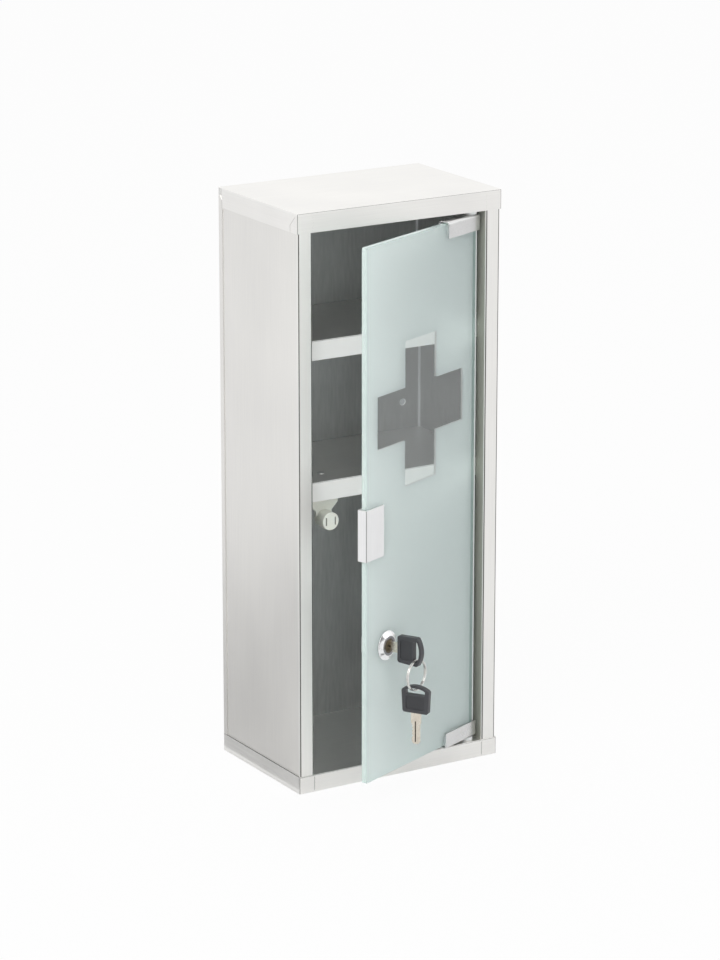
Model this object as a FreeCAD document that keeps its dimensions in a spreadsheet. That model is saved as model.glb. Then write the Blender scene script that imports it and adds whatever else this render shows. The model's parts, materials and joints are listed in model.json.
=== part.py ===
import FreeCAD, Part
import os
import re
import Sketcher

# Medicine cabinet for a wall: a folded steel case, two shelves and a locking glass door.
# The model has X to the right, Y towards the wall and Z up. Heights are counted from the
# bottom of the case, and the finished pieces are then set down with the origin midway
# between the two wall screw holes, on the plane of the wall.

SIZES = {
    # Case
    "width": 198,
    "depth": 130,
    "height": 500,
    "metal": 0.8,
    "bend_share": 0.875,
    "stile_bend_share": 2,
    "seam": 0.4,
    "cap_drop": 17,
    "base_rise": 15,
    "stile": 14,
    "stile_return": 12.5,
    "rail_past_pivot": 9.5,
    "corner_tab_start": 3,
    "corner_tab_cut": 8,
    "back_flange": 5.6,
    "back_flange_stop": 7,
    "back_flange_cut": 3.5,
    "hang_level": 290,
    "wall_hole_spacing": 160,
    "wall_hole_radius": 3,
    # Shelves
    "upper_shelf_drop": 112.5,
    "lower_shelf_rise": 251,
    "shelf_gap": 1.5,
    "shelf_lip": 16.8,
    "shelf_back_lip": 9,
    # Magnetic catch
    "catch_inset": 3.1,
    "catch_drop": 34.7,
    "catch_gap": 0.3,
    "barrel_radius": 7.7,
    "barrel_length": 11.5,
    "barrel_neck_radius": 4.5,
    "barrel_neck_length": 4.6,
    "catch_plate": 3,
    "catch_half_width": 13.5,
    "catch_taper_start": 22,
    "catch_taper_end": 28,
    "catch_foot": 22,
    "pole_spacing": 8.6,
    "pole_thick": 1.2,
    "pole_tall": 7,
    "pole_deep": 5,
    "pole_recess": 0.3,
    "magnet_deep": 3,
    "magnet_cover": 1.5,
    "rivet_radius": 1.6,
    "rivet_head_radius": 3,
    "rivet_head": 1.1,
    "rivet_spacing": 11,
    "rivet_from_plate": 12,
    # Door
    "door_angle": 23.2,
    "pivot_from_stile": 10.6,
    "pivot_setback": 8.5,
    "free_edge_gap": 4.8,
    "glass_past_pivot": 7,
    "glass_thick": 5,
    "glass_top_play": 0.1,
    "glass_foot_play": 0.6,
    "glass_corner": 1.5,
    "glass_bevel": 0.5,
    # Door pivots
    "bush_flange_radius": 5.5,
    "bush_flange": 2.8,
    "bush_shank_radius": 4,
    "bush_shank": 5,
    "pin_radius": 2.5,
    "pin_clearance": 0.05,
    "pin_head_radius": 3,
    "pin_head": 0.5,
    "pin_reach": 7,
    "door_play": 0.1,
    # Hinge clips
    "clip_to_left": 39,
    "clip_past_pivot": 6.2,
    "clip_tall": 14,
    "clip_metal": 1.2,
    "clip_bend_share": 2,
    "clip_pad": 1.8,
    "pad_long": 30,
    "pad_tall": 9,
    "pad_from_end": 1.5,
    "screw_radius": 1.6,
    "screw_spacing": 16,
    "screw_slot_wide": 0.7,
    "screw_slot_deep": 0.6,
    # Handle clip
    "handle_below_catch": 16.8,
    "handle_tall": 44,
    "handle_long": 23,
    "handle_front": 1.2,
    "handle_back": 1.6,
    "handle_web": 1.8,
    "handle_pad": 0.6,
    "handle_edge": 0.5,
    # Lock
    "lock_from_free_edge": 28.5,
    "lock_level": 135,
    "lock_flange_radius": 12.8,
    "lock_flange": 3,
    "lock_flange_edge": 1,
    "lock_dome_radius": 8,
    "lock_barrel_radius": 9,
    "lock_barrel_reach": 12,
    "lock_hole_play": 0.5,
    "lock_gasket": 0.5,
    "lock_nut_flats": 23,
    "lock_nut": 4,
    "plug_radius": 6,
    "plug_clearance": 0.05,
    "plug_tail": 7,
    "plug_tail_long": 2.2,
    "cam_thick": 2,
    "cam_hub_half": 8,
    "cam_arm_half": 5,
    "cam_crank": 15.5,
    "cam_catch": 4.7,
    "cam_gap": 0.5,
    "cam_corner": 4,
    "cam_play": 0.1,
    "cam_screw_radius": 2,
    "cam_screw_flange_radius": 6.2,
    "cam_screw_head_radius": 4.2,
    "cam_screw_head": 2.4,
    "cam_screw_long": 4,
    # Keys
    "key_blade_thick": 2,
    "key_blade_width": 7,
    "key_neck_width": 8.6,
    "key_neck": 9.3,
    "key_blade_long": 27.3,
    "key_tang": 9,
    "key_tang_width": 6,
    "key_tip": 1.6,
    "key_tip_half": 2.2,
    "key_play": 0.15,
    "key_notch": 0.9,
    "key_notch_step": 2.8,
    "key_notch_ramp": 0.9,
    "key_notch_flat": 0.5,
    "bow_long": 24,
    "bow_half_width": 12.6,
    "bow_end_radius": 21,
    "bow_corner": 2.2,
    "bow_waist_half_width": 11.6,
    "bow_thick": 4.6,
    "bow_edge": 0.7,
    "bow_slot_from_end": 2.2,
    "bow_slot_wide": 5.8,
    "bow_slot_half_long": 8.8,
    "bow_panel_deep": 0.5,
    "bow_panel_margin": 3,
    "bow_panel_to_slot": 1.5,
    "ring_radius": 13.5,
    "ring_wire": 1.3,
    "ring_wide": 2.4,
    "ring_groove": 0.25,
    "ring_top_gap": 0.8,
    "spare_top_gap": 1,
    "spare_turn": 10,
    # Cuts run past the faces that they open by this much
    "overrun": 1,
}
KEY_NOTCHES = 4
QUARTER_TURN = 90
NEAR_SHARE = 0.1

doc = FreeCAD.newDocument("medicine_cabinet")
sheet = doc.addObject("Spreadsheet::Sheet", "sizes")
for row, (alias, number) in enumerate(SIZES.items(), 1):
    sheet.set("A%d" % row, alias)
    sheet.set("B%d" % row, str(number))
    sheet.setAlias("B%d" % row, alias)
doc.recompute()

# Places that several pieces share, written in the named sizes
BODY_HALF = "(width / 2 - metal)"
OPENING_HALF = "(width / 2 - metal - stile)"
CAP_LOW = "(height - cap_drop)"
UPPER_SHELF = "(height - upper_shelf_drop)"
LOWER_SHELF = "(base_rise + lower_shelf_rise)"
SHELF_FRONT = "(depth - shelf_gap - max(metal + stile_return; pivot_setback + glass_past_pivot))"
PIVOT_X = "(" + OPENING_HALF + " - pivot_from_stile)"
PIVOT_Y = "(pivot_setback - depth)"
FREE_EDGE = "(" + PIVOT_X + " + " + OPENING_HALF + " - free_edge_gap)"
HANDLE_BACK = "(glass_thick / 2 + handle_pad + handle_back)"
CATCH_X = "(" + PIVOT_X + " - " + FREE_EDGE + " + handle_long - catch_inset)"
CATCH_Z = "(" + LOWER_SHELF + " - catch_drop)"
CATCH_FACE = "(" + PIVOT_Y + " + " + HANDLE_BACK + " + catch_gap)"
CATCH_BACK = "(" + CATCH_FACE + " + barrel_length + catch_plate)"
HANDLE_LOW = "(" + CATCH_Z + " - handle_below_catch)"
CLIP_HALF = "(glass_thick / 2 + clip_pad + clip_metal)"
CLIP_TOP = "(height - cap_drop - bush_flange - 2 * door_play)"
CLIP_BOTTOM = "(base_rise + bush_flange + door_play)"
UPPER_CLIP_LOW = "(" + CLIP_TOP + " - clip_tall)"
UPPER_WEB = "(" + CLIP_TOP + " - clip_metal)"
LOWER_WEB = "(" + CLIP_BOTTOM + " + clip_metal)"
LOCK_X = "(lock_from_free_edge - " + FREE_EDGE + ")"
CAM_FRONT = "(metal + stile_return - pivot_setback + cam_gap)"
CAM_TIP = "(lock_from_free_edge + free_edge_gap + cam_catch)"
LOCK_BACK = "(glass_thick / 2 + lock_gasket + lock_barrel_reach)"
LOCK_FACE = "(glass_thick / 2 + lock_gasket + lock_flange)"
KEY_START = "(glass_thick / 2 + lock_gasket + lock_flange + key_neck + key_play)"
SLOT_NEAR = "(bow_long - bow_slot_from_end - bow_slot_wide)"
SLOT_FAR = "(bow_long - bow_slot_from_end)"
SLOT_RADIUS = "(bow_end_radius - bow_slot_from_end)"
SLOT_ARCH = "(" + SLOT_RADIUS + " - sqrt(" + SLOT_RADIUS + " ^ 2 - bow_slot_half_long ^ 2))"
SLOT_MID = "(" + SLOT_NEAR + " + (bow_slot_wide - " + SLOT_ARCH + ") / 2)"
RING_DROP = "(bow_slot_half_long - ring_top_gap + ring_radius - ring_wire)"

pieces = []


def bound(text):
    word = lambda found: "sizes." + found.group() if found.group() in SIZES else found.group()
    return re.sub(r"[a-z_]+", word, text)


def size(text):
    return float(sheet.evalExpression(bound(text)))


def bind(item, prop, text):
    item.setExpression(prop, bound(text))


def new_body(label):
    body = doc.addObject("PartDesign::Body", label)
    body.Label = label
    return body


def new_sketch(body, role, offset="0"):
    plane = next(item for item in body.Origin.OriginFeatures if item.Role == role)
    sketch = body.newObject("Sketcher::SketchObject", body.Label + "_sketch")
    sketch.AttachmentSupport = (plane, "")
    sketch.MapMode = "FlatFace"
    bind(sketch, "AttachmentOffset.Base.z", offset)
    return sketch


def fix(sketch, edge, point, across, up):
    for kind, text in (("DistanceX", across), ("DistanceY", up)):
        number = sketch.addConstraint(Sketcher.Constraint(kind, -1, 1, edge, point, size(text)))
        bind(sketch, "Constraints[%d]" % number, text)


def add_outline(sketch, points):
    corners = [FreeCAD.Vector(size(across), size(up), 0) for across, up in points]
    first = sketch.GeometryCount
    for corner, following in zip(corners, corners[1:] + corners[:1]):
        sketch.addGeometry(Part.LineSegment(corner, following))
    for step, (across, up) in enumerate(points):
        following = first + (step + 1) % len(points)
        sketch.addConstraint(Sketcher.Constraint("Coincident", first + step, 2, following, 1))
        fix(sketch, first + step, 1, across, up)
    return sketch


def add_rectangle(sketch, left, right, low, high):
    return add_outline(sketch, [(left, low), (right, low), (right, high), (left, high)])


def add_circle(sketch, across, up, radius):
    centre = FreeCAD.Vector(size(across), size(up), 0)
    circle = sketch.addGeometry(Part.Circle(centre, FreeCAD.Vector(0, 0, 1), size(radius)))
    number = sketch.addConstraint(Sketcher.Constraint("Radius", circle, size(radius)))
    bind(sketch, "Constraints[%d]" % number, radius)
    fix(sketch, circle, 3, across, up)
    return sketch


def add_arched(sketch, foot, half, low, high, radius):
    # A straight foot and straight sides, closed by an arched end
    shoulder = high + " - " + radius + " + sqrt(" + radius + " ^ 2 - " + half + " ^ 2)"
    points = [("-1 * " + half, shoulder), ("-1 * " + foot, low), (foot, low), (half, shoulder)]
    corners = [FreeCAD.Vector(size(across), size(up), 0) for across, up in points]
    first = sketch.GeometryCount
    for corner, following in zip(corners, corners[1:]):
        sketch.addGeometry(Part.LineSegment(corner, following))
    crown = FreeCAD.Vector(0, size(high), 0)
    arc = sketch.addGeometry(Part.Arc(corners[-1], crown, corners[0]))
    for edge, following in ((first, first + 1), (first + 1, first + 2), (first + 2, arc), (arc, first)):
        sketch.addConstraint(Sketcher.Constraint("Coincident", edge, 2, following, 1))
    for step, (across, up) in enumerate(points[:-1]):
        fix(sketch, first + step, 1, across, up)
    fix(sketch, arc, 1, *points[-1])
    number = sketch.addConstraint(Sketcher.Constraint("Radius", arc, size(radius)))
    bind(sketch, "Constraints[%d]" % number, radius)
    return sketch


def made(feature, body):
    doc.recompute()
    if "Invalid" in feature.State or feature.Shape.isNull() or not feature.Shape.isValid():
        raise ValueError("%s of %s failed" % (feature.Name, body.Label))
    return feature


def extrude(body, kind, sketch, length, both, back):
    feature = body.newObject("PartDesign::" + kind, body.Label + "_" + kind.lower())
    feature.Profile = sketch
    bind(feature, "Length", length)
    feature.SideType = "Symmetric" if both else "One side"
    feature.Reversed = back
    return made(feature, body)


def pad(body, sketch, length, both=False, back=False):
    return extrude(body, "Pad", sketch, length, both, back)


def pocket(body, sketch, length, both=False, back=False):
    before = body.Tip.Shape.Volume
    feature = extrude(body, "Pocket", sketch, length, both, back)
    if feature.Shape.Volume > before - size("seam") ** 3:
        raise ValueError("a cut in %s removes nothing" % body.Label)
    return feature


def revolve(body, points):
    sketch = add_outline(new_sketch(body, "XZ_Plane"), points)
    feature = body.newObject("PartDesign::Revolution", body.Label + "_turned")
    feature.Profile = sketch
    feature.ReferenceAxis = (sketch, ["V_Axis"])
    return made(feature, body)


def round_edges(body, radius, wanted, kind="Fillet"):
    base = body.Tip
    names = ["Edge%d" % (n + 1) for n, edge in enumerate(base.Shape.Edges) if wanted(edge)]
    if not names:
        raise ValueError("no edge to round on %s" % body.Label)
    feature = body.newObject("PartDesign::" + kind, body.Label + "_" + kind.lower())
    feature.Base = (base, names)
    bind(feature, "Radius" if kind == "Fillet" else "Size", radius)
    return made(feature, body)


def near(number, text):
    return abs(number - size(text)) < size("seam") * NEAR_SHARE


def edge_runs(edge, axis):
    box = edge.BoundBox
    spans = {"x": box.XLength, "y": box.YLength, "z": box.ZLength}
    return all(span < size("seam") * NEAR_SHARE for name, span in spans.items() if name != axis)


def upright_at(places):
    def wanted(edge):
        middle = edge.CenterOfMass
        return edge_runs(edge, "z") and any(near(middle.x, x) and near(middle.y, y) for x, y in places)
    return wanted


def lengthwise_at(places):
    def wanted(edge):
        middle = edge.CenterOfMass
        return edge_runs(edge, "x") and any(near(middle.y, y) and near(middle.z, z) for y, z in places)
    return wanted


def finish(item, placement=None):
    item.Placement = placement or CASE
    pieces.append(item)


def gather(label, items):
    group = doc.addObject("Part::Compound", label)
    group.Label = label
    group.Links = items
    pieces.append(group)


def shifted(x, y, z):
    return FreeCAD.Placement(FreeCAD.Vector(size(x), size(y), size(z)), FreeCAD.Rotation())


def turned(axis, angle):
    return FreeCAD.Placement(FreeCAD.Vector(), FreeCAD.Rotation(FreeCAD.Vector(*axis), angle))


UP = (0, 0, 1)
RIGHT = (1, 0, 0)
CASE = shifted("0", "0", "-1 * hang_level")
DOOR = CASE * shifted(PIVOT_X, PIVOT_Y, "0") * turned(UP, size("door_angle"))
# On the lock, Z points out of the door, Y up and X towards the hinge
LOCK = DOOR * shifted(LOCK_X, "0", "lock_level") * turned(RIGHT, QUARTER_TURN)
KEY = LOCK * shifted("0", "0", KEY_START)
RING = KEY * shifted("0", "-1 * " + RING_DROP, SLOT_MID)
# The spare key hangs blade down, with its slot on the lowest point of the ring
RING_FOOT = RING * shifted("0", "-1 * (ring_radius - ring_wire - spare_top_gap)", "0")
SPARE_UPRIGHT = turned(RIGHT, -QUARTER_TURN) * turned(UP, size("spare_turn"))
SPARE = RING_FOOT * SPARE_UPRIGHT * shifted("0", "0", "-1 * " + SLOT_FAR)


def scribe_joins(body, low, high):
    # The welded and ground corner joins show as faint upright lines on the front
    for side in ("", "-1 * "):
        line = new_sketch(body, "XZ_Plane", "depth")
        edge = side + OPENING_HALF
        add_rectangle(line, edge + " - seam / 2", edge + " + seam / 2", low, high)
        pocket(body, line, "seam / 2")


def make_top_cap():
    cap = new_body("top_cap")
    half = "width / 2"
    end = "-1 * (back_flange + seam)"
    front = "-1 * depth"
    plate = new_sketch(cap, "XY_Plane", "height - metal")
    add_rectangle(plate, "-1 * " + half, half, front, "-1 * metal")
    pad(cap, plate, "metal")
    skirt = add_outline(new_sketch(cap, "XY_Plane", CAP_LOW), [
        ("-1 * " + half, end), ("-1 * " + half, front), (half, front), (half, end),
        (BODY_HALF, end), (BODY_HALF, "metal - depth"),
        ("-1 * " + BODY_HALF, "metal - depth"), ("-1 * " + BODY_HALF, end)])
    pad(cap, skirt, "cap_drop - metal")
    inner = BODY_HALF + " - metal - seam"
    rear = new_sketch(cap, "XY_Plane", CAP_LOW)
    add_rectangle(rear, "-1 * (" + inner + ")", inner, "-2 * metal", "-1 * metal")
    pad(cap, rear, "cap_drop - metal")
    lip_half = OPENING_HALF + " - seam"
    lip = new_sketch(cap, "XY_Plane", CAP_LOW)
    add_rectangle(lip, "-1 * (" + lip_half + ")", lip_half, "metal - depth", PIVOT_Y + " + rail_past_pivot")
    pad(cap, lip, "metal")
    round_edges(cap, "metal * bend_share", lambda edge: (
        near(edge.BoundBox.ZMin, "height") and not near(edge.CenterOfMass.y, "-1 * metal"))
        or upright_at([(half, front), ("-1 * " + half, front)])(edge))
    hole = add_circle(new_sketch(cap, "XY_Plane", CAP_LOW), PIVOT_X, PIVOT_Y, "bush_shank_radius")
    pocket(cap, hole, "metal", back=True)
    scribe_joins(cap, CAP_LOW, "height - 2 * metal")
    for side, back in (("", True), ("-1 * ", False)):
        start = "corner_tab_start - depth"
        turn = "corner_tab_start + corner_tab_cut - depth"
        high = "height - corner_tab_start"
        mid = "height - corner_tab_start - corner_tab_cut"
        tab = add_outline(new_sketch(cap, "YZ_Plane", side + BODY_HALF), [
            (start, high), (turn, mid), (turn, CAP_LOW),
            (turn + " + seam", CAP_LOW), (turn + " + seam", mid), (start + " + seam", high)])
        pocket(cap, tab, "metal", back=back)
    finish(cap)


def make_base_tray():
    base = new_body("base_tray")
    half = "width / 2"
    front = "-1 * depth"
    plate = new_sketch(base, "XY_Plane", "base_rise - metal")
    add_rectangle(plate, "-1 * " + half, half, front, "-1 * metal")
    add_circle(plate, PIVOT_X, PIVOT_Y, "bush_shank_radius")
    pad(base, plate, "metal")
    skirt = new_sketch(base, "XY_Plane")
    add_rectangle(skirt, "-1 * " + half, half, front, "-1 * metal")
    add_rectangle(skirt, "-1 * " + BODY_HALF, BODY_HALF, "metal - depth", "-2 * metal")
    pad(base, skirt, "base_rise - metal")
    round_edges(base, "metal * bend_share", lambda edge: (
        near(edge.BoundBox.ZMin, "base_rise") and near(edge.CenterOfMass.y, front))
        or upright_at([(half, front), ("-1 * " + half, front)])(edge))
    scribe_joins(base, "2 * metal", "base_rise - 2 * metal")
    finish(base)


def make_side_panel(label, side):
    panel = new_body(label)
    place = lambda text: side + "(" + text + ")"
    outer, inner = place(BODY_HALF), place(BODY_HALF + " - metal")
    edge, edge_back = place(OPENING_HALF), place(OPENING_HALF + " + metal")
    front, front_back = "metal - depth", "2 * metal - depth"
    end = "metal + stile_return - depth"
    profile = add_outline(new_sketch(panel, "XY_Plane", "base_rise"), [
        (outer, "-1 * metal"), (outer, front), (edge, front), (edge, end),
        (edge_back, end), (edge_back, front_back), (inner, front_back), (inner, "-1 * metal")])
    pad(panel, profile, "height - metal - base_rise")
    bent_inside = upright_at([(inner, front_back), (edge_back, front_back)])
    round_edges(panel, "metal * (stile_bend_share - 1)", bent_inside)
    round_edges(panel, "metal * stile_bend_share", upright_at([(outer, front), (edge, front)]))
    finish(panel)


def make_back_panel():
    back = new_body("back_panel")
    half = "width / 2"
    low, high = "base_rise + seam", "height - back_flange_stop"
    front = "-1 * back_flange"
    profile = add_outline(new_sketch(back, "XY_Plane", low), [
        ("-1 * " + half, "0"), ("-1 * " + half, front), ("-1 * " + BODY_HALF, front),
        ("-1 * " + BODY_HALF, "-1 * metal"), (BODY_HALF, "-1 * metal"), (BODY_HALF, front),
        (half, front), (half, "0")])
    pad(back, profile, high + " - (" + low + ")")
    round_edges(back, "back_flange_cut", lambda edge: edge_runs(edge, "x")
                and near(edge.CenterOfMass.y, front) and near(edge.CenterOfMass.z, high), "Chamfer")
    plate = new_sketch(back, "XZ_Plane")
    add_rectangle(plate, "-1 * " + half, half, "0", "height")
    pad(back, plate, "metal")
    holes = new_sketch(back, "XZ_Plane")
    for side in ("", "-1 * "):
        add_circle(holes, side + "wall_hole_spacing / 2", "hang_level", "wall_hole_radius")
    pocket(back, holes, "metal + overrun", back=True)
    finish(back)


def make_shelf(label, level, riveted):
    shelf = new_body(label)
    front, back = "-1 * " + SHELF_FRONT, "-1 * metal"
    half = BODY_HALF + " - metal"
    under = level + " - metal"
    profile = add_outline(new_sketch(shelf, "YZ_Plane"), [
        (front, level), (front, level + " - shelf_lip"), (front + " + metal", level + " - shelf_lip"),
        (front + " + metal", under), (back + " - metal", under),
        (back + " - metal", level + " - shelf_back_lip"), (back, level + " - shelf_back_lip"),
        (back, level)])
    pad(shelf, profile, "2 * (" + half + ")", both=True)
    top_edges = lambda edge: edge_runs(edge, "x") and near(edge.CenterOfMass.z, level)
    round_edges(shelf, "metal * bend_share", top_edges)
    if riveted:
        holes = new_sketch(shelf, "XY_Plane", under)
        for x, y in rivet_places():
            add_circle(holes, x, y, "rivet_radius")
        pocket(shelf, holes, "metal", back=True)
    finish(shelf)


def rivet_places():
    row = CATCH_BACK + " + rivet_from_plate"
    return [(CATCH_X + side + "rivet_spacing / 2", row) for side in (" - ", " + ")]


def pole_sides():
    mids = ("pole_spacing / 2", "pole_spacing / -2")
    return [(mid + " - pole_thick / 2", mid + " + pole_thick / 2") for mid in mids]


def make_catch():
    bracket = new_body("catch_bracket")
    top = LOWER_SHELF + " - metal"
    taper_start, taper_end = LOWER_SHELF + " - catch_taper_start", LOWER_SHELF + " - catch_taper_end"
    side = lambda sign, text: CATCH_X + sign + text
    plate = add_outline(new_sketch(bracket, "XZ_Plane", "-1 * " + CATCH_BACK), [
        (side(" - ", "catch_half_width"), top), (side(" - ", "catch_half_width"), taper_start),
        (side(" - ", "barrel_radius"), taper_end), (side(" - ", "barrel_radius"), CATCH_Z),
        (side(" + ", "barrel_radius"), CATCH_Z), (side(" + ", "barrel_radius"), taper_end),
        (side(" + ", "catch_half_width"), taper_start), (side(" + ", "catch_half_width"), top)])
    pad(bracket, plate, "catch_plate")
    boss = new_sketch(bracket, "XZ_Plane", "-1 * " + CATCH_BACK)
    add_circle(boss, CATCH_X, CATCH_Z, "barrel_radius")
    pad(bracket, boss, "catch_plate")
    foot = new_sketch(bracket, "XY_Plane", top + " - catch_plate")
    add_rectangle(foot, side(" - ", "catch_half_width"), side(" + ", "catch_half_width"),
                  CATCH_BACK + " - catch_plate", CATCH_BACK + " + catch_foot")
    pad(bracket, foot, "catch_plate")
    holes = new_sketch(bracket, "XY_Plane", top + " - catch_plate")
    for x, y in rivet_places():
        add_circle(holes, x, y, "rivet_radius")
    pocket(bracket, holes, "catch_plate", back=True)
    neck = new_sketch(bracket, "XZ_Plane", "-1 * " + CATCH_BACK)
    add_circle(neck, CATCH_X, CATCH_Z, "barrel_neck_radius")
    pocket(bracket, neck, "catch_plate", back=True)
    finish(bracket)

    # On the barrel, Z points out of its face, and the face is at the top
    face = CASE * shifted(CATCH_X, CATCH_FACE, CATCH_Z) * turned(RIGHT, QUARTER_TURN)
    barrel = new_body("catch_barrel")
    revolve(barrel, [
        ("0", "0"), ("barrel_radius - pole_recess", "0"), ("barrel_radius", "-1 * pole_recess"),
        ("barrel_radius", "-1 * barrel_length"), ("barrel_neck_radius", "-1 * barrel_length"),
        ("barrel_neck_radius", "-1 * (barrel_length + barrel_neck_length)"),
        ("0", "-1 * (barrel_length + barrel_neck_length)")])
    slots = new_sketch(barrel, "XY_Plane")
    for left, right in pole_sides():
        add_rectangle(slots, left, right, "pole_tall / -2", "pole_tall / 2")
    pocket(barrel, slots, "pole_deep")
    chamber = new_sketch(barrel, "XY_Plane", "-1 * magnet_cover")
    inner = "(pole_spacing - pole_thick) / 2"
    add_rectangle(chamber, "-1 * " + inner, inner, "pole_tall / -2", "pole_tall / 2")
    pocket(barrel, chamber, "magnet_deep")
    finish(barrel, face)
    magnet = new_body("catch_magnet")
    block = new_sketch(magnet, "XY_Plane", "-1 * magnet_cover")
    add_rectangle(block, "-1 * " + inner, inner, "pole_tall / -2", "pole_tall / 2")
    pad(magnet, block, "magnet_deep", back=True)
    finish(magnet, face)
    poles = []
    for left, right in pole_sides():
        pole = new_body("catch_pole_plate")
        strip = new_sketch(pole, "XY_Plane", "-1 * pole_recess")
        add_rectangle(strip, left, right, "pole_tall / -2", "pole_tall / 2")
        pad(pole, strip, "pole_deep - pole_recess", back=True)
        pole.Placement = face
        poles.append(pole)
    gather("catch_pole_plates", poles)
    rivets = []
    for x, y in rivet_places():
        rivet = new_body("catch_rivet")
        low = "-1 * (metal + catch_plate)"
        revolve(rivet, [
            ("0", "rivet_head"), ("rivet_radius", "rivet_head"), ("rivet_head_radius", "rivet_head / 2"),
            ("rivet_head_radius", "0"), ("rivet_radius", "0"), ("rivet_radius", low + " - rivet_head"),
            ("0", low + " - rivet_head")])
        rivet.Placement = CASE * shifted(x, y, LOWER_SHELF)
        rivets.append(rivet)
    gather("catch_rivets", rivets)


def make_pivot(name, level, side):
    # The bush stands in the case and the pin in the door, on one axis, mirrored top to bottom
    up = lambda text: side + "(" + text + ")"
    bore = "pin_radius + pin_clearance"
    bush = new_body(name + "_pivot_bush")
    revolve(bush, [
        (bore, up("-1 * bush_flange")), ("bush_flange_radius", up("-1 * bush_flange")),
        ("bush_flange_radius", "0"), ("bush_shank_radius", "0"),
        ("bush_shank_radius", up("bush_shank")), (bore, up("bush_shank"))])
    finish(bush, CASE * shifted(PIVOT_X, PIVOT_Y, level))


def make_door_pin(name, web, side):
    up = lambda text: side + "(" + text + ")"
    pin = new_body(name + "_pivot_pin")
    revolve(pin, [
        ("0", up("-1 * pin_head")), ("pin_head_radius", up("-1 * pin_head")), ("pin_head_radius", "0"),
        ("pin_radius", "0"), ("pin_radius", up("pin_reach")), ("0", up("pin_reach"))])
    finish(pin, DOOR * shifted("0", "0", web))


def make_hinge_clip(name, low, open_end, web_outside, web_inside):
    # A strip bent into a channel over the edge of the glass, open at both ends
    clip = new_body(name + "_hinge_clip")
    outer, inner = CLIP_HALF, "(" + CLIP_HALF + " - clip_metal)"
    channel = add_outline(new_sketch(clip, "YZ_Plane", "-1 * clip_to_left"), [
        (outer, open_end), (outer, web_outside), ("-1 * " + outer, web_outside), ("-1 * " + outer, open_end),
        ("-1 * " + inner, open_end), ("-1 * " + inner, web_inside), (inner, web_inside), (inner, open_end)])
    pad(clip, channel, "clip_to_left + clip_past_pivot")
    corners = lambda half, level: [(half, level), ("-1 * " + half, level)]
    round_edges(clip, "clip_metal * (clip_bend_share - 1)", lengthwise_at(corners(inner, web_inside)))
    round_edges(clip, "clip_metal * clip_bend_share", lengthwise_at(corners(outer, web_outside)))
    hole = add_circle(new_sketch(clip, "XY_Plane", low), "0", "0", "pin_radius")
    pocket(clip, hole, "clip_tall", back=True)
    holes = new_sketch(clip, "XZ_Plane", "-1 * " + CLIP_HALF)
    for x in screw_places():
        add_circle(holes, x, low + " + clip_tall / 2", "screw_radius")
    pocket(clip, holes, "clip_metal", back=True)
    finish(clip, DOOR)


def screw_places():
    middle = "-1 * clip_to_left + pad_from_end + pad_long / 2"
    return [middle + sign + "screw_spacing / 2" for sign in (" - ", " + ")]


def make_hinge_fittings(lows):
    pads, screws = [], []
    for low in lows:
        mid = low + " + clip_tall / 2"
        for side in ("", "-1 * "):
            strip = new_body("hinge_pad")
            left = "-1 * clip_to_left + pad_from_end"
            face = new_sketch(strip, "XZ_Plane", side + "(glass_thick + clip_pad) / 2")
            add_rectangle(face, left, left + " + pad_long", mid + " - pad_tall / 2", mid + " + pad_tall / 2")
            pad(strip, face, "clip_pad", both=True)
            strip.Placement = DOOR
            pads.append(strip)
        for x in screw_places():
            screw = new_body("hinge_set_screw")
            round_end = add_circle(new_sketch(screw, "XY_Plane"), "0", "0", "screw_radius")
            pad(screw, round_end, "clip_metal")
            slot = new_sketch(screw, "XY_Plane", "clip_metal")
            reach = "(screw_radius + overrun)"
            add_rectangle(slot, "-1 * " + reach, reach, "screw_slot_wide / -2", "screw_slot_wide / 2")
            pocket(screw, slot, "screw_slot_deep")
            seat = DOOR * shifted(x, "glass_thick / 2 + clip_pad", mid)
            screw.Placement = seat * turned(RIGHT, -QUARTER_TURN)
            screws.append(screw)
    gather("hinge_pads", pads)
    gather("hinge_set_screws", screws)


def make_door_glass():
    glass = new_body("door_glass")
    face = new_sketch(glass, "XZ_Plane")
    low = CLIP_BOTTOM + " + clip_metal + pin_head + glass_foot_play"
    high = CLIP_TOP + " - clip_metal - pin_head - glass_top_play"
    add_rectangle(face, "-1 * " + FREE_EDGE, "glass_past_pivot", low, high)
    pad(glass, face, "glass_thick", both=True)
    round_edges(glass, "glass_corner", lambda edge: edge_runs(edge, "y"))
    flat = lambda edge: near(abs(edge.CenterOfMass.y), "glass_thick / 2")
    round_edges(glass, "glass_bevel", flat, "Chamfer")
    hole = new_sketch(glass, "XZ_Plane")
    add_circle(hole, LOCK_X, "lock_level", "lock_barrel_radius + lock_hole_play")
    pocket(glass, hole, "2 * glass_thick", both=True)
    finish(glass, DOOR)


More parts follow.
